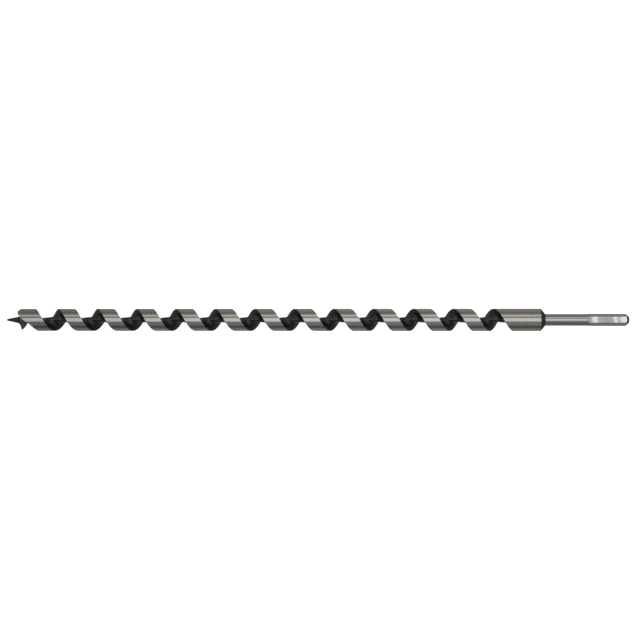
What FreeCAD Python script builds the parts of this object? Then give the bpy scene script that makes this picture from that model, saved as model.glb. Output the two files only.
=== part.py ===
import FreeCAD, Part
import math
import os
import Sketcher
from FreeCAD import Placement, Rotation, Vector

# A single-flute, solid-centre auger drill bit for wood, lying on its twist.
# Tool axis along X: the screw point faces -X, the hex drive end faces +X. Z is up and the
# tool rests on z = 0. "Station" means a distance along the axis from the tip of the screw
# point. "Angle" means the angle round the axis from +Z towards +Y, in degrees.

SIZES = [
    ("overall_length", 615.4),
    ("outer_diameter", 22.0),
    # the flute and the land beside it
    ("pitch", 39.215),
    ("land_width", 16.09),
    ("first_edge", 22.65),
    ("centre_radius", 2.48),
    ("centre_offset", 0.68),
    ("centre_side", 196.0),
    ("wall_reach", 62.0),
    # the head
    ("screw_length", 11.5),
    ("screw_tip_diameter", 1.3),
    ("screw_base_diameter", 6.0),
    ("thread_pitch", 2.9),
    ("thread_height", 0.4),
    ("thread_half_width", 0.7),
    ("thread_root_depth", 0.2),
    ("thread_start", 1.7),
    ("thread_end_gap", 0.8),
    ("head_end", 31.5),
    ("lip_lead", 30.0),
    ("lip_angle", 245.0),
    ("face_slope", 43.5),
    ("face_bend_radius", 5.0),
    ("face_outer_slope", 9.5),
    ("face_relief", 1.5),
    ("lip_end", 21.5),
    ("lip_root", 3.3),
    ("spur_front", 12.7),
    ("spur_nose_radius", 3.35),
    ("spur_nose_leave", 220.0),
    ("spur_foot_station", 24.3),
    ("spur_foot_drop", 3.7),
    ("edge_trim_lead", 1.0),
    ("spur_edge_thickness", 0.8),
    ("spur_root_thickness", 3.2),
    # the drive end
    ("collar_start", 490.0),
    ("groove_begin", 60.0),
    ("groove_least_depth", 0.03),
    ("runout_start", -180.0),
    ("runout_end", -246.0),
    ("collar_end", 533.9),
    ("shoulder_start", 529.7),
    ("neck_diameter", 11.6),
    ("hex_start", 575.9),
    ("hex_across_flats", 10.45),
    ("hex_turn", 3.3),
    ("hex_chamfer", 3.2),
    ("end_face_diameter", 5.8),
]

doc = FreeCAD.newDocument("auger_bit")
sheet = doc.addObject("Spreadsheet::Sheet", "sizes")
for row, (alias, value) in enumerate(SIZES, start=1):
    sheet.set("A%d" % row, alias)
    sheet.set("B%d" % row, str(value))
    sheet.setAlias("B%d" % row, alias)
doc.recompute()


def size(alias):
    """A driving dimension, read back from the sheet."""
    return float(sheet.get(alias))


RADIUS = size("outer_diameter") / 2
PITCH = size("pitch")
LAND_ANGLE = 360 * size("land_width") / PITCH
FLUTE_ANGLE = 360 - LAND_ANGLE
# Axial station, on the line facing straight up, where the first land ends and the flute begins.
FLUTE_EDGE = size("first_edge") + size("land_width")
# Cutters reach a little past the outer diameter, so that their edges never lie on it.
CLEAR_RADIUS = RADIUS + 0.4
REST = Vector(-size("overall_length") / 2, 0, RADIUS)
ALONG_X = Rotation(Vector(0, 1, 0), 90)
NODES = []


def node(thing, label):
    """Names a sub-part and lists it for export."""
    thing.Label = label
    NODES.append(thing)
    return thing


def lay_down(thing):
    """Moves a sub-part drawn from the tip to the tool's resting place."""
    thing.setExpression("Placement.Base.x", "-sizes.overall_length / 2")
    thing.setExpression("Placement.Base.z", "sizes.outer_diameter / 2")


def origin_plane(body, role):
    """One of a body's own origin planes or axes."""
    return next(f for f in body.Origin.OriginFeatures if f.Role == role)


def new_sketch(body, name, role):
    """A sketch on an origin plane of its own body."""
    sketch = body.newObject("Sketcher::SketchObject", name)
    sketch.AttachmentSupport = [(origin_plane(body, role), "")]
    sketch.MapMode = "FlatFace"
    return sketch


def closed_outline(sketch, points):
    """Draws a closed polygon and joins its corners; line number i starts at point i."""
    first = sketch.GeometryCount
    flat = [Vector(x, y, 0) for x, y in points]
    for i, start in enumerate(flat):
        sketch.addGeometry(Part.LineSegment(start, flat[(i + 1) % len(flat)]))
    for i in range(len(flat)):
        after = first + (i + 1) % len(flat)
        sketch.addConstraint(Sketcher.Constraint("Coincident", first + i, 2, after, 1))


def as_number(sketch, formula):
    """The present value of a formula in sheet sizes."""
    value = sketch.evalExpression(formula)
    return float(getattr(value, "Value", value))


def pin_point(sketch, line, name, across, up):
    """Ties the start of a line to expressions for its two coordinates."""
    for kind, axis, formula in (("DistanceX", "x", across), ("DistanceY", "y", up)):
        value = as_number(sketch, formula)
        if abs(value) < 1e-9:
            on_axis = -2 if axis == "x" else -1
            sketch.addConstraint(Sketcher.Constraint("PointOnObject", line, 1, on_axis))
            continue
        end = (-1, 1, line, 1) if value > 0 else (line, 1, -1, 1)
        number = sketch.addConstraint(Sketcher.Constraint(kind, *end, abs(value)))
        sketch.renameConstraint(number, "%s_%s" % (name, axis))
        sign = "" if value > 0 else "-"
        sketch.setExpression("Constraints.%s_%s" % (name, axis), "%s(%s)" % (sign, formula))


def turned_body(name, corners):
    """A turned solid: a half outline of named corners (station, radius), revolved about X."""
    body = doc.addObject("PartDesign::Body", name)
    sketch = new_sketch(body, name + "_outline", "XZ_Plane")
    closed_outline(sketch, [[as_number(sketch, a), as_number(sketch, b)] for _, a, b in corners])
    for line, (corner, across, up) in enumerate(corners):
        pin_point(sketch, line, corner, across, up)
    turn = body.newObject("PartDesign::Revolution", name + "_turned")
    turn.Profile = sketch
    turn.ReferenceAxis = (sketch, ["H_Axis"])
    turn.Angle = 360
    body.Tip = turn
    doc.recompute()
    return body


def polar(station, radius, angle):
    """A point at a distance from the tool axis and an angle round it."""
    turn = math.radians(angle)
    return Vector(station, radius * math.sin(turn), radius * math.cos(turn))


def blend_middle(start, heading, end):
    """Middle point of the arc that leaves start along heading and reaches end."""
    chord = end - start
    along = chord * (1 / chord.Length)
    lean = heading - along * heading.dot(along)
    half_turn = math.acos(heading.dot(along))
    lean.normalize()
    return (start + end) * 0.5 + lean * (chord.Length / 2 * math.tan(half_turn / 2))


def section(station, edge):
    """The tool's cross-section: the land's arc, two hollow flute walls and the round centre.

    edge is the angle where the land ends and the flute begins.
    """
    reach = size("wall_reach")
    far_edge = edge + FLUTE_ANGLE
    middle = polar(station, size("centre_offset"), edge + size("centre_side"))
    near_angle = edge + reach
    far_angle = far_edge - reach
    near = middle + polar(0, size("centre_radius"), near_angle)
    far = middle + polar(0, size("centre_radius"), far_angle)
    back = middle + polar(0, size("centre_radius"), (near_angle + far_angle) / 2)
    near_corner = polar(station, RADIUS, edge)
    far_corner = polar(station, RADIUS, far_edge)
    near_wall = blend_middle(near, polar(0, 1, near_angle - 90), near_corner)
    far_wall = blend_middle(far, polar(0, 1, far_angle + 90), far_corner)
    land = polar(station, RADIUS, edge - LAND_ANGLE / 2)
    return Part.Wire([
        Part.Arc(near_corner, near_wall, near).toShape(),
        Part.Arc(near, back, far).toShape(),
        Part.Arc(far, far_wall, far_corner).toShape(),
        Part.Arc(far_corner, land, near_corner).toShape(),
    ])


def flute_angle_at(station):
    """Angle of the flute's leading edge at a station: one full turn for each pitch."""
    return 360 * (FLUTE_EDGE - station) / PITCH


def make_twist():
    """The long twist: one section swept straight along the axis while a helix turns it."""
    start = size("head_end")
    length = size("collar_start") - start
    spine = Part.Wire(Part.makeLine(Vector(start, 0, 0), Vector(start + length, 0, 0)))
    guide = Part.makeHelix(PITCH, length, RADIUS)
    guide.Placement = Placement(Vector(start, 0, 0), ALONG_X)
    outline = section(start, flute_angle_at(start))
    sweep = Part.BRepOffsetAPI.MakePipeShell(spine)
    sweep.setAuxiliarySpine(Part.Wire(guide.Edges), True, 0)
    sweep.setTolerance(1e-5, 1e-5, 1e-4)
    sweep.add(outline)
    sweep.build()
    sweep.makeSolid()
    twist = doc.addObject("Part::Feature", "twist")
    twist.Shape = sweep.shape()
    twist.Placement = Placement(REST, Rotation())
    expected = Part.Face(outline).Area * length
    if abs(twist.Shape.Volume / expected - 1) > 1e-4:
        raise RuntimeError("the twist's volume is not its section times its length")
    return node(twist, "twist")


def head_edge_angle(station):
    """Flute edge angle in the head, where the flight flattens towards the cutting lip."""
    run = size("head_end") - size("screw_length")
    ahead = (size("head_end") - station) / run
    return flute_angle_at(station) + size("lip_lead") * ahead ** 2


def make_head_blank():
    """The front of the flight before its face is ground, lofted through turned sections."""
    steps = 20
    start = size("screw_length")
    run = size("head_end") - start
    stations = [start + run * step / steps for step in range(steps + 1)]
    wires = [section(station, head_edge_angle(station)) for station in stations]
    blank = doc.addObject("Part::Feature", "head_blank")
    blank.Shape = Part.makeLoft(wires, True, False)
    return blank


def make_face_grinder():
    """All that lies in front of the ground face, which is a steep cone inside a shallow one.

    Both cones lean forward at the lip, so that the lip cuts first.
    """
    slope = math.tan(math.radians(size("face_slope")))
    outer_slope = math.tan(math.radians(size("face_outer_slope")))
    relief = math.tan(math.radians(size("face_relief")))
    bend = size("face_bend_radius")
    apex = Vector(size("screw_length") - slope * size("screw_base_diameter") / 2, 0, 0)
    axis = (Vector(1, 0, 0) + polar(0, relief, size("lip_angle"))).normalize()
    reach = 3 * RADIUS
    inner = Part.makeCone(0, bend, bend * slope, apex, axis)
    outer = Part.makeCone(bend, reach, (reach - bend) * outer_slope, apex + axis * (bend * slope), axis)
    # The block is narrower than the outer cone and ends well inside its open end.
    front = apex - Vector(2 * RADIUS, 0, 0)
    depth = bend * slope + 0.6 * (reach - bend) * outer_slope
    block = Part.makeCylinder(reach / 2, 2 * RADIUS + depth, front, Vector(1, 0, 0))
    grinder = doc.addObject("Part::Feature", "face_grinder")
    grinder.Shape = block.cut(inner.fuse(outer))
    return grinder


def make_edge_trimmer():
    """What is ground off the flight's front edge, so that it runs on straight from the spur's foot."""
    foot = Vector(size("spur_foot_station"), -size("spur_foot_drop"), 0)
    straight = Vector(1, -1, 0)
    begin = foot - straight * size("edge_trim_lead")
    end = foot + straight * (RADIUS + 1 - size("spur_foot_drop"))
    corner = Vector(begin.x, end.y, 0)
    trimmer = doc.addObject("Part::Feature", "edge_trimmer")
    outline = Part.makePolygon([begin, corner, end, begin])
    trimmer.Shape = Part.Face(outline).extrude(Vector(0, 0, 2 * RADIUS))
    return trimmer


def make_lip_space():
    """The box round the end of the flight, below and behind the solid centre."""
    box = doc.addObject("Part::Box", "lip_space")
    box.setExpression("Length", "sizes.lip_end")
    box.setExpression("Width", "sizes.outer_diameter")
    box.setExpression("Height", "sizes.outer_diameter")
    box.setExpression("Placement.Base.y", "-sizes.lip_root - sizes.outer_diameter")
    box.setExpression("Placement.Base.z", "-sizes.outer_diameter / 2")
    return box


def boolean(kind, name, base, tool):
    """A Part::Cut or Part::Common of two objects, with its helical faces left as they are."""
    result = doc.addObject(kind, name)
    result.Base = base
    result.Tool = tool
    result.Refine = False
    return result


def make_head():
    """The ground head, split into the body of the head and its cutting lip."""
    faced = boolean("Part::Cut", "faced_head", make_head_blank(), make_face_grinder())
    ground = boolean("Part::Cut", "ground_head", faced, make_edge_trimmer())
    space = make_lip_space()
    head = boolean("Part::Cut", "head_body", ground, space)
    lip = boolean("Part::Common", "lip_body", ground, space)
    for piece, label in ((head, "head"), (lip, "cutting_lip")):
        lay_down(node(piece, label))
    return ground


def spur_outline():
    """The spur seen from above: a round nose, a long curved edge, and the land behind."""
    nose = size("spur_nose_radius")
    leave = size("spur_nose_leave")
    centre = Vector(size("spur_front") + nose, RADIUS - nose, 0)

    def on_nose(turn):
        return centre + Vector(math.cos(math.radians(turn)), math.sin(math.radians(turn)), 0) * nose

    crown = on_nose(90)
    leaving = on_nose(leave)
    nose_middle = on_nose((90 + leave) / 2)
    foot = Vector(size("spur_foot_station"), -size("spur_foot_drop"), 0)
    end = Vector(size("head_end"), foot.y - (size("head_end") - foot.x), 0)
    edge_middle = blend_middle(leaving, (leaving - centre).cross(Vector(0, 0, -1)).normalize(), foot)
    top = centre + Vector(0, 2 * nose, 0)
    corners = [foot, end, Vector(end.x, end.y / 2, 0), Vector(foot.x, top.y, 0), top, crown]
    edges = [Part.makeLine(a, b) for a, b in zip(corners, corners[1:])]
    edges.append(Part.Arc(crown, nose_middle, leaving).toShape())
    edges.append(Part.Arc(leaving, edge_middle, foot).toShape())
    return Part.Wire(edges)


def make_spur(ground):
    """The round-nosed side lip that scores the edge of the hole, thinned to a cutting edge."""
    start = size("screw_length")
    length = size("head_end") - start
    shell = Part.makeCylinder(RADIUS, length, Vector(start, 0, 0), Vector(1, 0, 0))
    bore = Part.makeCone(
        RADIUS - size("spur_edge_thickness"), RADIUS - size("spur_root_thickness"), length,
        Vector(start, 0, 0), Vector(1, 0, 0))
    lobe = Part.Face(spur_outline()).extrude(Vector(0, 0, 2 * RADIUS))
    blank = doc.addObject("Part::Feature", "spur_blank")
    blank.Shape = shell.cut(bore).common(lobe)
    lay_down(node(boolean("Part::Cut", "spur_body", blank, ground), "spur"))


def make_lead_screw():
    """The screw point: a turned taper with one tapered right-hand thread."""
    body = turned_body("lead_screw_body", [
        ("tip", "0", "0"),
        ("tip_edge", "0", "sizes.screw_tip_diameter / 2"),
        ("base_edge", "sizes.screw_length", "sizes.screw_base_diameter / 2"),
        ("base", "sizes.screw_length", "0"),
    ])
    taper = "(sizes.screw_base_diameter - sizes.screw_tip_diameter) / 2 / sizes.screw_length"
    root = "sizes.screw_tip_diameter / 2 + sizes.thread_start * %s" % taper
    profile = new_sketch(body, "thread_profile", "XZ_Plane")
    sides = [
        ("front", "sizes.thread_start - sizes.thread_half_width", root + " - sizes.thread_root_depth"),
        ("crest", "sizes.thread_start", root + " + sizes.thread_height"),
        ("back", "sizes.thread_start + sizes.thread_half_width", root + " - sizes.thread_root_depth"),
    ]
    closed_outline(profile, [[as_number(profile, a), as_number(profile, b)] for _, a, b in sides])
    for line, (corner, across, up) in enumerate(sides):
        pin_point(profile, line, corner, across, up)
    thread = body.newObject("PartDesign::AdditiveHelix", "thread")
    thread.Profile = profile
    thread.ReferenceAxis = (profile, ["H_Axis"])
    thread.Mode = 0
    thread.Growth = 0
    thread.LeftHanded = False
    thread.setExpression("Pitch", "sizes.thread_pitch")
    thread.setExpression("Height", "sizes.screw_length - sizes.thread_start - sizes.thread_end_gap")
    thread.setExpression("Angle", "atan(%s)" % taper)
    body.Tip = thread
    lay_down(node(body, "lead_screw"))


def flute_profile():
    """Points (distance past the flute edge, radius) along the flute's wall, parallel to the axis.

    The wall may dip a little behind its edge, so angles just short of a full turn count as negative.
    Both ends stand clear of the outer diameter.
    """
    wire = section(0, 0)
    points = [(0, CLEAR_RADIUS)]
    for edge in wire.Edges[:3]:
        for place in edge.discretize(7)[:-1]:
            angle = (math.degrees(math.atan2(place.y, place.z)) + 90) % 360 - 90
            points.append((PITCH * angle / 360, math.hypot(place.y, place.z)))
    width = PITCH * FLUTE_ANGLE / 360
    return points + [(width, RADIUS), (width, CLEAR_RADIUS)]


def groove_section(angle, depth):
    """The flute's profile in the half plane at an angle, at a share of its full depth."""
    turns = math.floor((size("collar_start") - FLUTE_EDGE) / PITCH)
    start = FLUTE_EDGE + PITCH * (turns - angle / 360)
    wall = [polar(start + along, CLEAR_RADIUS - depth * (CLEAR_RADIUS - radius), angle)
            for along, radius in flute_profile()]
    curve = Part.BSplineCurve()
    curve.interpolate(wall)
    first = polar(wall[0].x, CLEAR_RADIUS + 1, angle)
    last = polar(wall[-1].x, CLEAR_RADIUS + 1, angle)
    return Part.Wire([
        curve.toShape(),
        Part.makeLine(wall[-1], last),
        Part.makeLine(last, first),
        Part.makeLine(first, wall[0]),
    ])


def make_groove():
    """The last of the flute, which climbs out of the collar behind the tool."""
    begin = size("groove_begin")
    least_depth = size("groove_least_depth")
    fade_start = size("runout_start")
    fade_end = size("runout_end")
    steps = 14
    wires = []
    for step in range(steps + 1):
        angle = begin + (fade_end - begin) * step / steps
        faded = max(0.0, (fade_start - angle) / (fade_start - fade_end))
        depth = max(least_depth, math.cos(math.radians(90 * faded)))
        wires.append(groove_section(angle, depth))
    groove = doc.addObject("Part::Feature", "groove")
    groove.Shape = Part.makeLoft(wires, True, False)
    return groove


def make_collar():
    """The full-diameter collar with its cone shoulder, where the flute runs out."""
    blank = turned_body("collar_blank", [
        ("base", "sizes.collar_start", "0"),
        ("base_edge", "sizes.collar_start", "sizes.outer_diameter / 2"),
        ("shoulder", "sizes.shoulder_start", "sizes.outer_diameter / 2"),
        ("neck_edge", "sizes.collar_end", "sizes.neck_diameter / 2"),
        ("neck", "sizes.collar_end", "0"),
    ])
    lay_down(node(boolean("Part::Cut", "collar_body", blank, make_groove()), "collar"))


def make_neck():
    """The round shank between the collar and the hex."""
    neck = node(doc.addObject("Part::Cylinder", "neck_body"), "shank_neck")
    neck.Placement = Placement(Vector(), ALONG_X)
    neck.setExpression("Radius", "sizes.neck_diameter / 2")
    neck.setExpression("Height", "sizes.hex_start - sizes.collar_end")
    neck.setExpression("Placement.Base.x", "sizes.collar_end - sizes.overall_length / 2")
    neck.setExpression("Placement.Base.z", "sizes.outer_diameter / 2")


def hexagon(sketch):
    """A hexagon about the sketch's origin with two level flats, sized across its flats."""
    across = size("hex_across_flats")
    corner = across / math.sqrt(3)
    turns = [math.radians(60 * i) for i in range(6)]
    closed_outline(sketch, [(corner * math.cos(a), corner * math.sin(a)) for a in turns])
    ring = sketch.addGeometry(Part.Circle(Vector(), Vector(0, 0, 1), corner), True)
    sketch.addConstraint(Sketcher.Constraint("Coincident", ring, 3, -1, 1))
    for line in range(6):
        sketch.addConstraint(Sketcher.Constraint("PointOnObject", line, 1, ring))
        if line:
            sketch.addConstraint(Sketcher.Constraint("Equal", 0, line))
    sketch.addConstraint(Sketcher.Constraint("Horizontal", 1))
    number = sketch.addConstraint(Sketcher.Constraint("DistanceY", 4, 1, 1, 1, across))
    sketch.renameConstraint(number, "across_flats")
    sketch.setExpression("Constraints.across_flats", "sizes.hex_across_flats")


def make_hex():
    """The hex drive end: a milled hexagon with a turned chamfer at its end."""
    body = doc.addObject("PartDesign::Body", "hex_body")
    sketch = new_sketch(body, "hex_section", "YZ_Plane")
    hexagon(sketch)
    pad = body.newObject("PartDesign::Pad", "hex_bar")
    pad.Profile = sketch
    pad.setExpression("Length", "sizes.overall_length - sizes.hex_start")
    body.Tip = pad
    doc.recompute()
    whole = pad.Shape.Volume
    bevel = new_sketch(body, "bevel_outline", "XZ_Plane")
    reach = "(sizes.overall_length - sizes.hex_start)"
    corner = "sizes.hex_across_flats / sqrt(3)"
    sides = [
        ("begin", reach + " - sizes.hex_chamfer", corner),
        ("face", reach, "sizes.end_face_diameter / 2"),
        ("clear", reach, corner + " + sizes.hex_chamfer"),
    ]
    closed_outline(bevel, [[as_number(bevel, a), as_number(bevel, b)] for _, a, b in sides])
    for line, (name, across, up) in enumerate(sides):
        pin_point(bevel, line, name, across, up)
    groove = body.newObject("PartDesign::Groove", "end_bevel")
    groove.Profile = bevel
    groove.ReferenceAxis = (bevel, ["H_Axis"])
    groove.Angle = 360
    body.Tip = groove
    body.Placement = Placement(Vector(), Rotation(Vector(1, 0, 0), -size("hex_turn")))
    body.setExpression("Placement.Base.x", "sizes.hex_start - sizes.overall_length / 2")
    body.setExpression("Placement.Base.z", "sizes.outer_diameter / 2")
    doc.recompute()
    if groove.Shape.Volume > whole - 1:
        raise RuntimeError("the end bevel cut nothing")
    node(body, "hex_drive")


def check_and_export():
    """Stops on any failed object or shape, then writes one STEP file for each sub-part."""
    doc.recompute()
    for thing in doc.Objects:
        if "Invalid" in thing.State or "Error" in thing.State:
            raise RuntimeError("%s failed: %s" % (thing.Name, thing.State))
    for thing in NODES:
        shape = thing.Shape
        if shape.isNull() or not shape.isValid() or len(shape.Solids) != 1:
            raise RuntimeError("%s has no single valid solid" % thing.Label)
    os.makedirs("parts", exist_ok=True)
    for thing in NODES:
        thing.Shape.exportStep("parts/%s.step" % thing.Label)
        print("%-12s %9.1f mm3" % (thing.Label, thing.Shape.Volume), thing.Shape.BoundBox)


make_lead_screw()
ground_head = make_head()
make_spur(ground_head)
make_twist()
make_collar()
make_neck()
make_hex()
check_and_export()
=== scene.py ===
import math
import bpy
from mathutils import Matrix, Vector


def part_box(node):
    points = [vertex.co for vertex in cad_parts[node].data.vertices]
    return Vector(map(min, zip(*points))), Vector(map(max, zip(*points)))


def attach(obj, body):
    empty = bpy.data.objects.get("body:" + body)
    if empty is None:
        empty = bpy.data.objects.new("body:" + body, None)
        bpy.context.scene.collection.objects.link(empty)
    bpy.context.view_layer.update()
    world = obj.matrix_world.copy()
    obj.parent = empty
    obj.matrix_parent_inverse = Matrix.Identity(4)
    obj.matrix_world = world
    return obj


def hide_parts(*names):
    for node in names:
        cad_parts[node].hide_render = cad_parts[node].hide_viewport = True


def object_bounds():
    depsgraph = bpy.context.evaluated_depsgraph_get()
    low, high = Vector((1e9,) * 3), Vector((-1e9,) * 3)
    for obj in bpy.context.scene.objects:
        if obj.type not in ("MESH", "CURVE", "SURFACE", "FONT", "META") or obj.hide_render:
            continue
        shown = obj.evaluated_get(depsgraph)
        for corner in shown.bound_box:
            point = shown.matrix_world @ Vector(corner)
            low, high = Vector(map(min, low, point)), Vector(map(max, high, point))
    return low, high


# The looks of a single-flute, solid-centre auger bit that lies on its twist, screw point towards -X.
# Lengths below are in millimetres unless a name says otherwise; "station" is the distance from the
# tip of the screw point along the tool, and "angle" runs round the axis from +Z towards +Y.

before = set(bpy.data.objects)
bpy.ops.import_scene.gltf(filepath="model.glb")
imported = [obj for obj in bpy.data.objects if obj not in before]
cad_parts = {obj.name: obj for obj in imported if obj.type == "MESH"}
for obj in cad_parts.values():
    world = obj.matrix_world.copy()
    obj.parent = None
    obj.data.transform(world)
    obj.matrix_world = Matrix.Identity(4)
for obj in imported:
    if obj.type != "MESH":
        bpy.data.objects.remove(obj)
cad_low, cad_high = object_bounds()

MM = 0.001


# ---------------------------------------------------------------- sizes read from the frame

TIP = cad_low.x / MM
LENGTH = cad_high.x / MM - TIP
RADIUS = (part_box("collar")[1].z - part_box("collar")[0].z) / 2 / MM
AXIS_HEIGHT = RADIUS


def start_of(node):
    """Station where a CAD node begins."""
    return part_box(node)[0].x / MM - TIP


def end_of(node):
    """Station where a CAD node ends."""
    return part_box(node)[1].x / MM - TIP


SCREW_LENGTH = end_of("lead_screw")
HEAD_END = start_of("twist")
COLLAR_START = start_of("collar")
COLLAR_END = start_of("shank_neck")
HEX_START = start_of("hex_drive")
NECK_RADIUS = (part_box("shank_neck")[1].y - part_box("shank_neck")[0].y) / 2 / MM

# ---------------------------------------------------------------- sizes of the flute and the ends

# On top of the tool the first land runs from FIRST_EDGE to FLUTE_EDGE, and the next one a pitch later.
PITCH = 39.215
LAND_WIDTH = 16.09
FIRST_EDGE = 22.65
LAND_ANGLE = 360 * LAND_WIDTH / PITCH
FLUTE_ANGLE = 360 - LAND_ANGLE
FLUTE_EDGE = FIRST_EDGE + LAND_WIDTH

# The solid centre lies a little off the axis. Both angles are measured from an edge of the land.
CENTRE_RADIUS = 2.48
CENTRE_OFFSET = 0.68
CENTRE_SIDE = 196.0
WALL_REACH = 62.0

# The cutting lip and the ground face of the head.
LIP_LEAD = 30.0
LIP_ANGLE = 245.0
FACE_SLOPE = 43.5
FACE_BEND_RADIUS = 5.0
FACE_OUTER_SLOPE = 9.5
FACE_RELIEF = 1.5
EDGE_TRIM_LEAD = 1.0

# The screw point.
SCREW_BASE_RADIUS = 3.0
SCREW_TIP_RADIUS = 0.65
SCREW_ROOT = 2.4
THREAD_PITCH = 2.9
THREAD_HEIGHT = 0.34

# The spur: a round nose in front, a foot where its long edge ends.
SPUR_FRONT = 12.7
SPUR_NOSE_RADIUS = 3.35
NOSE_LEAVE = 40.0
SPUR_FOOT_STATION = 24.3
SPUR_FOOT_DROP = 3.7
SPUR_EDGE_THICKNESS = 0.8
SPUR_ROOT_THICKNESS = 3.2

# The drive end.
SHOULDER_START = 529.7
HEX_ACROSS_FLATS = 10.45
HEX_TURN = 3.3
HEX_BEVEL = 3.2
END_FACE_RADIUS = 2.9


# ---------------------------------------------------------------- mesh helpers

SHARP_ANGLE = 35.0


def polar(station, radius, angle):
    """A point in tool millimetres: station, across, up from the axis."""
    turn = math.radians(angle)
    return Vector((station, radius * math.sin(turn), radius * math.cos(turn)))


def to_row(point):
    """From tool millimetres to the shared frame in metres."""
    return Vector((point.x + TIP, point.y, point.z + AXIS_HEIGHT)) * MM


def make_piece(name, points, faces, slots, sharp=SHARP_ANGLE):
    """A mesh object from tool points; faces are (corner indices, material number)."""
    mesh = bpy.data.meshes.new(name)
    mesh.from_pydata([to_row(p) for p in points], [], [corners for corners, _ in faces])
    for number, (_, material) in enumerate(faces):
        mesh.polygons[number].material_index = material
    for material in slots:
        mesh.materials.append(material)
    finish_mesh(mesh, sharp)
    piece = bpy.data.objects.new(name, mesh)
    bpy.context.scene.collection.objects.link(piece)
    return piece


def finish_mesh(mesh, sharp):
    """Smooth shading, broken at edges sharper than an angle in degrees."""
    mesh.validate()
    mesh.shade_smooth()
    mesh.set_sharp_from_angle(angle=math.radians(sharp))


def tube_faces(rings, size, material_of):
    """Quads between rings of equal size; material_of gives the material of a place in a ring."""
    faces = []
    for ring in range(rings - 1):
        for i in range(size):
            j = (i + 1) % size
            a, b = ring * size, (ring + 1) * size
            faces.append(((a + i, a + j, b + j, b + i), material_of(ring, i)))
    return faces


def closed_tube(rings, size, material_of, start_material, end_material):
    """The quads of a tube and a flat cap at each of its ends."""
    last = (rings - 1) * size
    faces = tube_faces(rings, size, material_of)
    faces.append((tuple(range(size))[::-1], start_material))
    faces.append((tuple(range(last, last + size)), end_material))
    return faces


def turned_over(faces):
    """The same faces seen from their other side."""
    return [(corners[::-1], material) for corners, material in faces]


def circle(station, radius, steps):
    """Ring of points round the axis, in the order that tube_faces wants."""
    return [polar(station, radius, -360 * i / steps) for i in range(steps)]


def lathe(name, outline, slots, steps, material_of=lambda ring, i: 0):
    """A solid of revolution from (station, radius) pairs, with a fan of triangles at each end."""
    points = []
    for station, radius in outline:
        points += circle(station, radius, steps)
    faces = tube_faces(len(outline), steps, material_of)
    points.append(Vector((outline[0][0], 0, 0)))
    points.append(Vector((outline[-1][0], 0, 0)))
    last = (len(outline) - 1) * steps
    for i in range(steps):
        j = (i + 1) % steps
        faces.append(((len(points) - 2, j, i), material_of(0, i)))
        faces.append(((len(points) - 1, last + i, last + j), material_of(len(outline) - 2, i)))
    return make_piece(name, points, faces, slots)


def ride_and_stand_for(piece, slot, *nodes):
    """Fixes a piece to the one body, in the place of its CAD nodes."""
    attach(piece, "root")
    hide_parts(*nodes)


# ---------------------------------------------------------------- the tool's cross-section

def arc_points(start, heading, end, steps):
    """Points after start on the arc that leaves it along heading and reaches end."""
    chord = end - start
    side = heading.cross(Vector((1, 0, 0)))
    lean = chord.dot(side)
    radius = chord.length_squared / (2 * lean)
    centre = start + side * radius
    turn = 2 * math.asin(min(1.0, chord.length / 2 / abs(radius)))
    if chord.dot(heading) < 0:
        turn = 2 * math.pi - turn
    if lean > 0:
        turn = -turn
    spins = [Matrix.Rotation(turn * k / steps, 3, "X") for k in range(1, steps + 1)]
    return [centre + spin @ (start - centre) for spin in spins]


WALL_STEPS = 16
CENTRE_STEPS = 14
LAND_STEPS = 64

# Width of the rounding on the edges of the land, and the share of it where its middle point lies.
RIM = 0.28
RIM_BEND = 0.3


def section(station, edge, rim=RIM):
    """Ring of points: land, rounded rim, hollow wall, round centre, hollow wall, rounded rim.

    edge is the angle where the land ends and the flute begins.
    """
    far_edge = edge + FLUTE_ANGLE
    middle = polar(station, CENTRE_OFFSET, edge + CENTRE_SIDE)
    near_angle = edge + WALL_REACH
    far_angle = far_edge - WALL_REACH
    near = middle + polar(0, CENTRE_RADIUS, near_angle)
    far = middle + polar(0, CENTRE_RADIUS, far_angle)
    near_corner = polar(station, RADIUS - rim, edge)
    far_corner = polar(station, RADIUS - rim, far_edge)
    near_wall = arc_points(near, polar(0, 1, near_angle - 90), near_corner, WALL_STEPS)
    far_wall = arc_points(far, polar(0, 1, far_angle + 90), far_corner, WALL_STEPS)
    centre = [middle + polar(0, CENTRE_RADIUS, near_angle + (far_angle - near_angle) * k / CENTRE_STEPS)
              for k in range(CENTRE_STEPS + 1)]
    rim_turn = math.degrees(rim / RADIUS)
    first = far_edge - 360 + rim_turn
    span = edge - rim_turn - first
    land = [polar(station, RADIUS, first + span * k / LAND_STEPS) for k in range(LAND_STEPS + 1)]
    bend = RIM_BEND * rim
    bend_turn = math.degrees(bend / RADIUS)
    near_rim = polar(station, RADIUS - bend, edge - bend_turn)
    far_rim = polar(station, RADIUS - bend, far_edge + bend_turn)
    return land + [near_rim] + near_wall[::-1] + centre + far_wall + [far_rim]


RING_SIZE = len(section(0, 0))


def section_material(_, i):
    """Ground steel on the land and its rims, black on the flute."""
    return 0 if i <= LAND_STEPS or i == RING_SIZE - 1 else 1


def flute_angle_at(station):
    """Angle of the flute's leading edge at a station: one turn for each pitch."""
    return 360 * (FLUTE_EDGE - station) / PITCH


def swept_rings(name, stations, edge_angle, slots, rim_of=lambda station: RIM):
    """A closed solid through turned cross-sections."""
    points = []
    for station in stations:
        points += section(station, edge_angle(station), rim_of(station))
    faces = turned_over(closed_tube(len(stations), RING_SIZE, section_material, 1, 1))
    return make_piece(name, points, faces, slots)


# ---------------------------------------------------------------- materials

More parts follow.
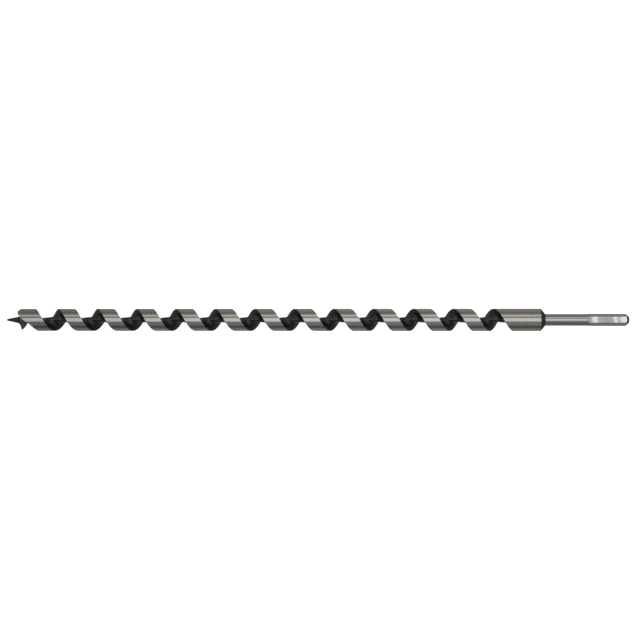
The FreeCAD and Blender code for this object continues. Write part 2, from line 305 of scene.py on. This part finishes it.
def new_material(name):
    """A node material, its tree and its Principled shader."""
    material = bpy.data.materials.new(name)
    material.use_nodes = True
    tree = material.node_tree
    return material, tree, tree.nodes["Principled BSDF"]


def add_node(tree, kind, **settings):
    """A node with properties and input values set by name."""
    node = tree.nodes.new(kind)
    for key, value in settings.items():
        if hasattr(node, key):
            setattr(node, key, value)
        else:
            node.inputs[key.replace("_", " ")].default_value = value
    return node


def stretched_noise(tree, stretch, scale, detail=3.0):
    """Noise in the tool's own frame; stretch times scale is its fineness per metre along each axis."""
    place = add_node(tree, "ShaderNodeTexCoord")
    mapping = add_node(tree, "ShaderNodeMapping")
    mapping.inputs["Scale"].default_value = stretch
    noise = add_node(tree, "ShaderNodeTexNoise", Scale=scale, Detail=detail)
    tree.links.new(place.outputs["Object"], mapping.inputs["Vector"])
    tree.links.new(mapping.outputs["Vector"], noise.inputs["Vector"])
    return noise


def ramp(tree, source, stops):
    """A colour ramp over a socket; stops are (place, grey or colour)."""
    node = add_node(tree, "ShaderNodeValToRGB")
    elements = node.color_ramp.elements
    elements.remove(elements[1])
    for number, (place, colour) in enumerate(stops):
        element = elements.new(place) if number else elements[0]
        element.position = place
        if isinstance(colour, (int, float)):
            colour = (colour, colour, colour)
        element.color = (*colour, 1.0)
    tree.links.new(source, node.inputs["Fac"])
    return node.outputs["Color"]


def bump(tree, height, strength, distance, shader):
    """Adds a fine relief to a shader."""
    node = add_node(tree, "ShaderNodeBump", Strength=strength, Distance=distance)
    tree.links.new(height, node.inputs["Height"])
    tree.links.new(node.outputs["Normal"], shader.inputs["Normal"])


def ground_steel(name, dark, light, roughness):
    """Bright ground steel: long faint streaks along the tool and fine grinding lines round it."""
    material, tree, shader = new_material(name)
    shader.inputs["Metallic"].default_value = 1.0
    streaks = stretched_noise(tree, (6.0, 900.0, 900.0), 1.0)
    colour = ramp(tree, streaks.outputs["Fac"], [(0.3, dark), (0.7, light)])
    marks = stretched_noise(tree, (1100.0, 240.0, 240.0), 1.0, 4.0)
    speckle = ramp(tree, marks.outputs["Fac"], [(0.36, 0.90), (0.64, 1.03)])
    tree.links.new(multiply(tree, colour, speckle), shader.inputs["Base Color"])
    smears = stretched_noise(tree, (30.0, 400.0, 400.0), 1.0)
    rough = ramp(tree, smears.outputs["Fac"], [(0.3, roughness - 0.04), (0.7, roughness + 0.05)])
    tree.links.new(rough, shader.inputs["Roughness"])
    lines = stretched_noise(tree, (4000.0, 40.0, 40.0), 1.0, 2.0)
    bump(tree, lines.outputs["Fac"], 0.25, 0.00002, shader)
    return material


def black_steel(name, worn=None):
    """Steel left black from the forge: dark, softly glossy, a little mottled.

    worn is a pair of stations between which the metal goes from brownish bare steel to black.
    """
    material, tree, shader = new_material(name)
    shader.inputs["Metallic"].default_value = 0.0
    shader.inputs["Specular IOR Level"].default_value = 0.8
    patches = stretched_noise(tree, (1.0, 1.0, 1.0), 180.0, 4.0)
    shades = [(0.3, (0.0085, 0.0074, 0.0060)), (0.7, (0.021, 0.0187, 0.0160))]
    colour = ramp(tree, patches.outputs["Fac"], shades)
    if worn:
        colour = fade_along(tree, worn, (0.19, 0.166, 0.135), colour)
    tree.links.new(colour, shader.inputs["Base Color"])
    rough = ramp(tree, patches.outputs["Fac"], [(0.3, 0.26), (0.7, 0.36)])
    tree.links.new(rough, shader.inputs["Roughness"])
    grain = stretched_noise(tree, (1.0, 1.0, 1.0), 1400.0, 3.0)
    bump(tree, grain.outputs["Fac"], 0.3, 0.00005, shader)
    return material


def along_tool(tree, start, end):
    """0 to 1 between two stations, for a piece in the shared frame."""
    place = add_node(tree, "ShaderNodeTexCoord")
    parts = add_node(tree, "ShaderNodeSeparateXYZ")
    tree.links.new(place.outputs["Object"], parts.inputs["Vector"])
    share = add_node(tree, "ShaderNodeMapRange")
    share.inputs["From Min"].default_value = (TIP + start) * MM
    share.inputs["From Max"].default_value = (TIP + end) * MM
    tree.links.new(parts.outputs["X"], share.inputs["Value"])
    return share.outputs["Result"]


def waver(tree, source, amount):
    """Shifts a 0 to 1 share by a little noise, so that its bounds are not straight."""
    noise = stretched_noise(tree, (60.0, 420.0, 420.0), 1.0)
    shift = add_node(tree, "ShaderNodeMath", operation="MULTIPLY_ADD")
    tree.links.new(noise.outputs["Fac"], shift.inputs[0])
    shift.inputs[1].default_value = amount
    tree.links.new(source, shift.inputs[2])
    return shift.outputs[0]


def fade_along(tree, stations, first, second):
    """From a fixed colour to another socket's colour between two stations."""
    share = waver(tree, along_tool(tree, *stations), 0.25)
    mix = add_node(tree, "ShaderNodeMix", data_type="RGBA")
    tree.links.new(share, mix.inputs["Factor"])
    mix.inputs["A"].default_value = (*first, 1.0)
    tree.links.new(second, mix.inputs["B"])
    return mix.outputs["Result"]


def multiply(tree, first, second):
    """Product of two colours."""
    mix = add_node(tree, "ShaderNodeMix", data_type="RGBA", blend_type="MULTIPLY")
    mix.inputs["Factor"].default_value = 1.0
    tree.links.new(first, mix.inputs["A"])
    tree.links.new(second, mix.inputs["B"])
    return mix.outputs["Result"]


def milled_steel_painted_highlights(name):
    """A milled hexagon flat: fine cutter lines across it, and painted highlights, which are broad
    near-white bands of base colour along it with dull grey between.
    """
    material, tree, shader = new_material(name)
    shader.inputs["Metallic"].default_value = 1.0
    share = waver(tree, along_tool(tree, HEX_START, LENGTH), 0.12)
    # Painted highlights: near-white bands along the flat where the studio's strips would reflect, and
    # painted dull grey between them.
    painted_highlight_bands = ramp(tree, share, [
        (0.06, (0.50, 0.49, 0.47)), (0.14, (0.58, 0.57, 0.55)), (0.17, (0.97, 0.96, 0.94)),
        (0.26, (0.95, 0.94, 0.92)), (0.30, (0.52, 0.51, 0.50)), (0.50, (0.45, 0.44, 0.44)),
        (0.66, (0.52, 0.51, 0.50)), (0.70, (0.92, 0.91, 0.89)), (0.74, (0.90, 0.89, 0.87)),
        (0.78, (0.60, 0.59, 0.58)), (0.83, (0.64, 0.63, 0.62)), (0.87, (0.97, 0.96, 0.94)),
    ])
    lines = stretched_noise(tree, (2200.0, 60.0, 60.0), 1.0, 2.0)
    dim = ramp(tree, lines.outputs["Fac"], [(0.35, 0.84), (0.6, 1.0)])
    tree.links.new(multiply(tree, painted_highlight_bands, dim), shader.inputs["Base Color"])
    shader.inputs["Roughness"].default_value = 0.2
    bump(tree, lines.outputs["Fac"], 0.3, 0.00002, shader)
    return material


GROUND = ground_steel("ground_steel", (0.545, 0.52, 0.485), (0.635, 0.61, 0.575), 0.13)
TURNED = ground_steel("turned_steel", (0.56, 0.54, 0.51), (0.65, 0.63, 0.60), 0.13)
BLACK = black_steel("blackened_steel")
HEAD_BLACK = black_steel("head_steel", (SCREW_LENGTH + 3.5, SCREW_LENGTH + 8.0))
# The head's ground faces and the spur's cut sides: a darker copy of the ground steel as painted shade,
# on a real, rougher grind.
FACET_PAINTED_SHADE = ground_steel("facet_steel_painted_shade", (0.36, 0.34, 0.31), (0.50, 0.48, 0.44), 0.32)
FLAT = milled_steel_painted_highlights("milled_steel_painted_highlights")


# ---------------------------------------------------------------- the twist

TURN_STEP = 5.0
HEAD_SEAM = (0.02, 0.06, 0.14)
TWIST_SEAM = (0.02, 0.06, 0.14, 0.3)


def station_list(start, end, step):
    """Evenly spaced stations, both ends included."""
    count = max(1, round((end - start) / step))
    return [start + (end - start) * k / count for k in range(count + 1)]


def seam_rings(seam, inward, distances):
    """Extra stations close to a seam, so that the shading of both sides meets without a mark.

    inward is 1 where the piece lies past the seam and -1 where it lies ahead of it.
    """
    return [seam + inward * distance for distance in distances]


def make_twist():
    """The open twist between the head and the collar."""
    stations = station_list(HEAD_END, COLLAR_START, PITCH * TURN_STEP / 360)
    stations += seam_rings(HEAD_END, 1, TWIST_SEAM)
    stations += seam_rings(COLLAR_START, -1, TWIST_SEAM)
    stations.sort()
    piece = swept_rings("twist_flight", stations, flute_angle_at, [GROUND, BLACK])
    ride_and_stand_for(piece, "ground_steel", "twist")


# ---------------------------------------------------------------- booleans

def combine(base, tool, operation):
    """Applies one exact boolean to a piece and throws the tool away."""
    modifier = base.modifiers.new(operation.lower(), "BOOLEAN")
    modifier.operation = operation
    modifier.object = tool
    modifier.solver = "EXACT"
    modifier.material_mode = "INDEX"
    bpy.context.view_layer.update()
    made = base.evaluated_get(bpy.context.evaluated_depsgraph_get())
    mesh = bpy.data.meshes.new_from_object(made)
    mesh.name = base.name
    base.modifiers.clear()
    base.data = mesh
    bpy.data.objects.remove(tool)
    finish_mesh(mesh, SHARP_ANGLE)
    return base


def prism(name, outline, height, slots, material):
    """An upright solid that stands on the axis plane, over an outline of (station, across) points."""
    points = [Vector((x, y, level)) for level in (0.0, height) for x, y in outline]
    faces = closed_tube(2, len(outline), lambda ring, i: material, material, material)
    return make_piece(name, points, faces, slots)


# ---------------------------------------------------------------- the head

# The rings of the head begin a little ahead of the ground face, which cuts them off.
HEAD_OVERRUN = 1.5
HEAD_RING_STEP = 0.3
LEAST_RIM_SHARE = 0.15
FACE_REACH = 1.4 * RADIUS
FACE_APEX_RADIUS = 0.02
FACE_STEPS = 96
OUTLINE_STEPS = 24

# The spur's shell is cut from a tube just inside the outside diameter.
SPUR_INSET = 0.02
SPUR_LEAD = 1.0
SPUR_END_GAP = 0.05
SPUR_STEPS = 192


def head_edge_angle(station):
    """Flute edge angle in the head, where the flight flattens towards the cutting lip."""
    ahead = (HEAD_END - station) / (HEAD_END - SCREW_LENGTH)
    return flute_angle_at(station) + LIP_LEAD * ahead ** 2


def head_rim(station):
    """Width of the rounding on the flight's edges, which are ground sharp in front."""
    share = (station - SPUR_FOOT_STATION) / (HEAD_END - SPUR_FOOT_STATION)
    return RIM * max(LEAST_RIM_SHARE, min(1.0, share))


def face_cone(slots, material):
    """Everything in front of the ground face, which is a steep cone inside a shallow one.

    Both cones lean forward at the lip, so that the lip cuts first.
    """
    slope = math.tan(math.radians(FACE_SLOPE))
    lean = polar(0, math.tan(math.radians(FACE_RELIEF)), LIP_ANGLE)
    apex = SCREW_LENGTH - slope * SCREW_BASE_RADIUS
    bend = apex + slope * FACE_BEND_RADIUS
    rim = bend + (FACE_REACH - FACE_BEND_RADIUS) * math.tan(math.radians(FACE_OUTER_SLOPE))
    points = []
    for station, radius in ((apex, FACE_APEX_RADIUS), (bend, FACE_BEND_RADIUS), (rim, FACE_REACH)):
        for spoke in circle(0, radius, FACE_STEPS):
            points.append(Vector((station - spoke.dot(lean), spoke.y, spoke.z)))
    points += circle(0, FACE_REACH, FACE_STEPS)
    faces = closed_tube(4, FACE_STEPS, lambda ring, i: material, material, material)
    return make_piece("face_cone", points, turned_over(faces), slots)


def edge_trimmer(slots, material):
    """What is ground off the flight's front edge, so that it runs on straight from the spur's foot."""
    foot_x, foot_y = SPUR_FOOT_STATION, -SPUR_FOOT_DROP
    run = RADIUS + 1 - SPUR_FOOT_DROP
    begin = (foot_x - EDGE_TRIM_LEAD, foot_y + EDGE_TRIM_LEAD)
    end = (foot_x + run, foot_y - run)
    return prism("edge_trimmer", [begin, (begin[0], end[1]), end], 2 * RADIUS, slots, material)


def flat_arc(start, heading, end, steps):
    """Points after start on an arc in the plane of station and across."""
    upright = [Vector((0, p.x, p.y)) for p in (start, heading, end)]
    return [Vector((p.y, p.z, 0)) for p in arc_points(*upright, steps)]


def spur_outline():
    """The spur seen from above: a round nose, a long curved edge, and the land behind."""
    nose = SPUR_NOSE_RADIUS
    centre = Vector((SPUR_FRONT + nose, RADIUS - nose, 0))
    foot = Vector((SPUR_FOOT_STATION, -SPUR_FOOT_DROP, 0))
    end = Vector((HEAD_END, foot.y - (HEAD_END - foot.x), 0))
    begin = math.radians(90)
    leave = math.radians(180 + NOSE_LEAVE)
    turns = [begin + (leave - begin) * k / OUTLINE_STEPS for k in range(OUTLINE_STEPS + 1)]
    points = [centre + nose * Vector((math.cos(turn), math.sin(turn), 0)) for turn in turns]
    heading = Vector((-math.sin(leave), math.cos(leave), 0))
    points += flat_arc(points[-1], heading, foot, OUTLINE_STEPS)
    top = centre.y + 2 * nose
    points += [end, Vector((end.x, end.y / 2, 0)), Vector((foot.x, top, 0)), Vector((centre.x, top, 0))]
    return [(p.x, p.y) for p in points]


def make_spur_blank(slots):
    """The thin shell of the spur: a tube whose fourth ring joins its first, cut to the outline."""
    outer = RADIUS - SPUR_INSET
    start = SPUR_FRONT - SPUR_LEAD
    end = HEAD_END - SPUR_END_GAP
    bore_front = RADIUS - SPUR_EDGE_THICKNESS
    bore_back = RADIUS - SPUR_ROOT_THICKNESS
    points = []
    for station, radius in ((start, outer), (end, outer), (end, bore_back), (start, bore_front)):
        points += circle(station, radius, SPUR_STEPS)
    row_materials = (0, 1, 1, 2)
    quads = tube_faces(5, SPUR_STEPS, lambda row, i: row_materials[row])
    faces = [(tuple(corner % len(points) for corner in quad), material) for quad, material in quads]
    shell = make_piece("spur_shell", points, faces, slots)
    lobe = prism("spur_lobe", spur_outline(), 2 * RADIUS, slots, 2)
    return combine(shell, lobe, "INTERSECT")


def make_head():
    """The forged head with its ground face, cutting lip and spur."""
    slots = [GROUND, HEAD_BLACK, FACET_PAINTED_SHADE]
    stations = station_list(SCREW_LENGTH - HEAD_OVERRUN, HEAD_END, HEAD_RING_STEP)
    stations += seam_rings(HEAD_END, -1, HEAD_SEAM)
    stations.sort()
    piece = swept_rings("auger_head", stations, head_edge_angle, slots, head_rim)
    combine(piece, face_cone(slots, 2), "DIFFERENCE")
    combine(piece, edge_trimmer(slots, 2), "DIFFERENCE")
    combine(piece, make_spur_blank(slots), "UNION")
    ride_and_stand_for(piece, "ground_steel", "head", "cutting_lip", "spur")


# ---------------------------------------------------------------- the screw point

SCREW_STEPS = 72
SCREW_RING_STEP = 0.07
SCREW_SHARP_ANGLE = 50.0

# The tip begins with a share of its radius and gains a whole share in BLUNT_LENGTH. The cone bulges.
BLUNT_SHARE = 0.35
BLUNT_LENGTH = 0.5
CONE_POWER = 0.9

# Where the cone meets the head it swells over a millimetre each way, then sinks into the head.
ROOT_SWELL = 0.25
ROOT_SINK = 0.9

# The thread begins with a share of its height and gains a whole share in THREAD_GROWTH. It fades out
# before the head. Its crest takes CREST_HALF_WIDTH of the pitch on each side.
THREAD_START_SHARE = 0.25
THREAD_GROWTH = 5.0
THREAD_FADE = 0.8
CREST_HALF_WIDTH = 0.2


def screw_core(station):
    """Radius of the cone under the thread."""
    along = min(1.0, station / SCREW_LENGTH)
    past = max(0.0, (station - SCREW_LENGTH) / SCREW_ROOT)
    cone = SCREW_TIP_RADIUS + (SCREW_BASE_RADIUS - SCREW_TIP_RADIUS) * along ** CONE_POWER
    swell = ROOT_SWELL * max(0.0, 1 - abs(station - SCREW_LENGTH)) ** 2
    return cone + swell - ROOT_SINK * past ** 2


def thread_height(station):
    """Height of the thread's crest."""
    growth = min(1.0, THREAD_START_SHARE + station / THREAD_GROWTH)
    fade = max(0.0, min(1.0, (SCREW_LENGTH - station) / THREAD_FADE))
    return THREAD_HEIGHT * growth * fade


def make_lead_screw():
    """A tapered point with one sharp-crested thread, flaring into the head at its root."""
    stations = station_list(0.0, SCREW_LENGTH + SCREW_ROOT, SCREW_RING_STEP)
    points = []
    for station in stations:
        blunt = min(1.0, BLUNT_SHARE + station / BLUNT_LENGTH)
        core = screw_core(station)
        height = thread_height(station)
        for i in range(SCREW_STEPS):
            place = (station / THREAD_PITCH - i / SCREW_STEPS) % 1.0
            crest = max(0.0, 1 - abs(place - 0.5) / CREST_HALF_WIDTH)
            points.append(polar(station, blunt * (core + height * crest), -360 * i / SCREW_STEPS))
    faces = closed_tube(len(stations), SCREW_STEPS, lambda ring, i: 0, 0, 0)
    piece = make_piece("screw_point", points, faces, [BLACK], SCREW_SHARP_ANGLE)
    ride_and_stand_for(piece, "blackened_steel", "lead_screw")


# ---------------------------------------------------------------- the collar

# The flute's last turn, in degrees round the tool: where the groove's solid begins, where it starts
# to grow shallow, and where it ends with a least share of its depth.
GROOVE_BEGIN = 60.0
RUNOUT_START = -180.0
RUNOUT_END = -246.0
GROOVE_STEP = 4.0
LEAST_DEPTH_SHARE = 0.03

# The groove's solid reaches past the outside diameter, and its flat top further still.
CLEAR_RADIUS = RADIUS + 0.4
TOP_RADIUS = CLEAR_RADIUS + 1

# The shoulder's cone, rounded off: (past its start, down from the outside), then (ahead of the
# collar's end, up from the neck). The black begins a little ahead of the cone.
SHOULDER_TOP = [(-0.08, 0.02), (0.12, 0.18)]
SHOULDER_FOOT = [(0.3, 0.38), (0.1, 0.14), (0.0, 0.0)]
BLACK_LEAD = 0.35
OUTLINE_STEP = 2.0
COLLAR_STEPS = 160


def groove_profile():
    """(distance past the flute edge, radius) along the flute's wall, parallel to the axis."""
    flute = section(0, 0, 0.0)[LAND_STEPS + 2:-1]
    places = []
    for point in flute:
        angle = (math.degrees(math.atan2(point.y, point.z)) + 90) % 360 - 90
        places.append((PITCH * angle / 360, math.hypot(point.y, point.z)))
    width = PITCH * FLUTE_ANGLE / 360
    return [(0, CLEAR_RADIUS)] + places + [(width, CLEAR_RADIUS)]


def make_groove(slots):
    """The last of the flute, which climbs out of the collar behind the tool."""
    profile = groove_profile()
    width = profile[-1][0]
    turns = math.floor((COLLAR_START - FLUTE_EDGE) / PITCH)
    count = round((GROOVE_BEGIN - RUNOUT_END) / GROOVE_STEP)
    points = []
    for k in range(count + 1):
        angle = GROOVE_BEGIN + (RUNOUT_END - GROOVE_BEGIN) * k / count
        start = FLUTE_EDGE + PITCH * (turns - angle / 360)
        faded = max(0.0, (RUNOUT_START - angle) / (RUNOUT_START - RUNOUT_END))
        depth = max(LEAST_DEPTH_SHARE, math.cos(math.radians(90 * faded)))
        points += [polar(start + along, CLEAR_RADIUS - depth * (CLEAR_RADIUS - radius), angle)
                   for along, radius in profile]
        points += [polar(start + width, TOP_RADIUS, angle), polar(start, TOP_RADIUS, angle)]
    faces = closed_tube(count + 1, len(profile) + 2, lambda ring, i: 1, 1, 1)
    return make_piece("groove", points, faces, slots)


def make_collar():
    """The full-diameter collar with its black cone shoulder, where the flute runs out."""
    slots = [GROUND, BLACK]
    ground = station_list(COLLAR_START, SHOULDER_START - BLACK_LEAD, OUTLINE_STEP)
    outline = [(station, RADIUS) for station in ground]
    outline += [(SHOULDER_START + past, RADIUS - down) for past, down in SHOULDER_TOP]
    outline += [(COLLAR_END - ahead, NECK_RADIUS + up) for ahead, up in SHOULDER_FOOT]

    def collar_material(ring, _):
        return 0 if ring < len(ground) - 1 else 1

    piece = lathe("collar_body", outline, slots, COLLAR_STEPS, collar_material)
    combine(piece, make_groove(slots), "DIFFERENCE")
    ride_and_stand_for(piece, "ground_steel", "collar")


# ---------------------------------------------------------------- the neck and the hex

NECK_STEPS = 96
HEX_STEPS_PER_SIDE = 24
HEX_BEVEL_STEPS = 12
HEX_SHARP_ANGLE = 20.0
HEX_EDGE_BREAK = 0.05

# Past the neck the flats fall and the corners rise by these shares of the distance. The milled look
# begins at MILLED_START, and the last ring of the sides stays SIDE_END_GAP ahead of the bevel.
RUN_OUT_FALL = 0.75
RUN_OUT_RISE = 1.2
RUN_OUT_LENGTH = 1.5
RUN_OUT_STEP = 0.075
MILLED_START = 0.3
SIDE_END_GAP = 0.3


def make_neck():
    """The round shank between the collar and the hex."""
    outline = [(station, NECK_RADIUS) for station in station_list(COLLAR_END, HEX_START, OUTLINE_STEP)]
    piece = lathe("shank_round", outline, [TURNED], NECK_STEPS)
    ride_and_stand_for(piece, "turned_steel", "shank_neck")


HEX_CORNER = HEX_ACROSS_FLATS / math.sqrt(3)


def hex_radius(angle):
    """Distance from the axis to the hexagon at an angle, its corners a little blunted."""
    off = (angle - HEX_TURN + 30) % 60 - 30
    side = HEX_ACROSS_FLATS / 2 / math.cos(math.radians(off))
    return min(side, HEX_CORNER - HEX_EDGE_BREAK)


def hex_run_out(station, angle):
    """Radius where the milled flats climb out of the round neck."""
    into = station - HEX_START
    low = NECK_RADIUS - RUN_OUT_FALL * into
    high = NECK_RADIUS + RUN_OUT_RISE * into
    return min(high, max(low, hex_radius(angle)))


def bevel_point(angle, share):
    """A point on the end bevel: share 0 is where the cone meets the hexagon, 1 is the end face."""
    side = hex_radius(angle)
    slope = (HEX_CORNER - END_FACE_RADIUS) / HEX_BEVEL
    meeting = LENGTH - (side - END_FACE_RADIUS) / slope
    station = meeting + (LENGTH - meeting) * share
    return polar(station, side + (END_FACE_RADIUS - side) * share, angle)


def make_hex():
    """The hexagon: milled flats that run out at the neck, and a black cone bevel at the end."""
    size = 6 * HEX_STEPS_PER_SIDE
    angles = [HEX_TURN + 30 - 360 * i / size for i in range(size)]
    run_out_end = HEX_START + RUN_OUT_LENGTH
    stations = station_list(HEX_START, run_out_end, RUN_OUT_STEP)[:-1]
    stations += station_list(run_out_end, LENGTH - HEX_BEVEL - SIDE_END_GAP, OUTLINE_STEP)
    points = []
    for station in stations:
        points += [polar(station, hex_run_out(station, angle), angle) for angle in angles]
    for step in range(HEX_BEVEL_STEPS + 1):
        points += [bevel_point(angle, step / HEX_BEVEL_STEPS) for angle in angles]

    def side_material(ring, i):
        if ring >= len(stations):
            return 1
        milled = i // HEX_STEPS_PER_SIDE % 3 == 0 and stations[ring] > HEX_START + MILLED_START
        return 2 if milled else 0

    faces = closed_tube(len(stations) + HEX_BEVEL_STEPS + 1, size, side_material, 0, 1)
    piece = make_piece("hex_shank", points, faces, [TURNED, BLACK, FLAT], HEX_SHARP_ANGLE)
    ride_and_stand_for(piece, "turned_steel", "hex_drive")


make_lead_screw()
make_head()
make_twist()
make_collar()
make_neck()
make_hex()


# ---------------------------------------------------------------- camera, light and floor

# The distance and the floor are in metres, the yaw in degrees.
SENSOR_WIDTH = 36.0
LENS = 86.473
CAMERA_DISTANCE = 1.5189
CAMERA_YAW = 2.769
AIM_STATION = 312.8
AIM_ACROSS = -0.12
FLOOR_HALF = 6.0


def make_camera():
    """Straight above the tool, turned a little towards the drive end."""
    aim = to_row(Vector((AIM_STATION, AIM_ACROSS, 0)))
    yaw = math.radians(CAMERA_YAW)
    data = bpy.data.cameras.new("camera")
    data.sensor_width = SENSOR_WIDTH
    data.lens = LENS
    camera = bpy.data.objects.new("camera", data)
    camera.location = aim + Vector((math.sin(yaw), 0, math.cos(yaw))) * CAMERA_DISTANCE
    camera.rotation_euler = (0, yaw, 0)
    bpy.context.scene.collection.objects.link(camera)
    bpy.context.scene.camera = camera


def make_floor():
    """A plain white floor, bright of itself like a light table."""
    mesh = bpy.data.meshes.new("floor")
    half = FLOOR_HALF
    corners = [(-half, -half, 0), (half, -half, 0), (half, half, 0), (-half, half, 0)]
    mesh.from_pydata(corners, [], [(0, 1, 2, 3)])
    material, _, shader = new_material("floor_white")
    shader.inputs["Base Color"].default_value = (0.8, 0.8, 0.8, 1)
    shader.inputs["Roughness"].default_value = 0.9
    shader.inputs["Specular IOR Level"].default_value = 0.0
    shader.inputs["Emission Color"].default_value = (1, 1, 1, 1)
    shader.inputs["Emission Strength"].default_value = 0.95
    mesh.materials.append(material)
    floor = bpy.data.objects.new("floor", mesh)
    bpy.context.scene.collection.objects.link(floor)
    floor.visible_glossy = False
    floor.visible_diffuse = False


# The studio round the tool: angle from straight up towards +Y, brightness, warmth (-1 cool to 1 warm).
STUDIO = [
    (-180, 0.28, 0.5), (-144, 0.28, 0), (-119, 0.28, -0.5), (-103, 0.25, -0.8), (-92, 0.12, -1.5),
    (-73, 0.12, -1.5), (-60, 0.19, -0.5), (-48, 0.26, 0), (-38, 0.30, 0.5), (-26, 0.21, 0.5),
    (-21, 0.21, 0.5), (-16, 0.88, 0), (-4, 0.96, 0), (15, 1.00, 0), (21, 0.34, 0.5), (31, 0.34, 0.5),
    (38, 0.72, 0), (51, 0.78, 0), (57, 0.34, 0.5), (68, 0.25, 1), (82, 0.21, 1), (97, 0.28, 0.5),
    (113, 0.33, 0.5), (135, 0.29, 0), (180, 0.27, 0.5),
]
WARM_RED = 0.03
WARM_BLUE = -0.05
FALL_TO_ENDS = 5.0
LEAST_LEVEL = 0.72


def make_studio():
    """Soft studio light: long strips above and beside the tool, painted on the surroundings."""
    world = bpy.data.worlds.new("studio")
    bpy.context.scene.world = world
    world.use_nodes = True
    tree = world.node_tree
    back = tree.nodes["Background"]
    place = add_node(tree, "ShaderNodeTexCoord")
    parts = add_node(tree, "ShaderNodeSeparateXYZ")
    tree.links.new(place.outputs["Generated"], parts.inputs["Vector"])
    angle = add_node(tree, "ShaderNodeMath", operation="ARCTAN2")
    tree.links.new(parts.outputs["Y"], angle.inputs[0])
    tree.links.new(parts.outputs["Z"], angle.inputs[1])
    share = add_node(tree, "ShaderNodeMapRange")
    share.inputs["From Min"].default_value = -math.pi
    share.inputs["From Max"].default_value = math.pi
    tree.links.new(angle.outputs[0], share.inputs["Value"])
    stops = []
    for degrees, level, warmth in STUDIO:
        tint = (1 + WARM_RED * warmth, 1, 1 + WARM_BLUE * warmth)
        stops.append(((degrees + 180) / 360, [level * part for part in tint]))
    light = ramp(tree, share.outputs["Result"], stops)
    tree.links.new(light, back.inputs["Color"])
    tree.links.new(end_falloff(tree, parts.outputs["X"]), back.inputs["Strength"])


def end_falloff(tree, along):
    """Strength of the strips: 1 over the tool's middle, dimming to a least level at both ends."""
    square = add_node(tree, "ShaderNodeMath", operation="MULTIPLY")
    tree.links.new(along, square.inputs[0])
    tree.links.new(along, square.inputs[1])
    fall = add_node(tree, "ShaderNodeMath", operation="MULTIPLY_ADD")
    tree.links.new(square.outputs[0], fall.inputs[0])
    fall.inputs[1].default_value = -FALL_TO_ENDS
    fall.inputs[2].default_value = 1.0
    least = add_node(tree, "ShaderNodeMath", operation="MAXIMUM")
    tree.links.new(fall.outputs[0], least.inputs[0])
    least.inputs[1].default_value = LEAST_LEVEL
    return least.outputs[0]


def set_colours():
    """Plain display of the linear picture, so that the white floor is white."""
    settings = bpy.context.scene.view_settings
    settings.view_transform = "Standard"
    settings.look = "None"
    settings.exposure = 0.0
    settings.gamma = 1.0


make_camera()
make_floor()
make_studio()
set_colours()
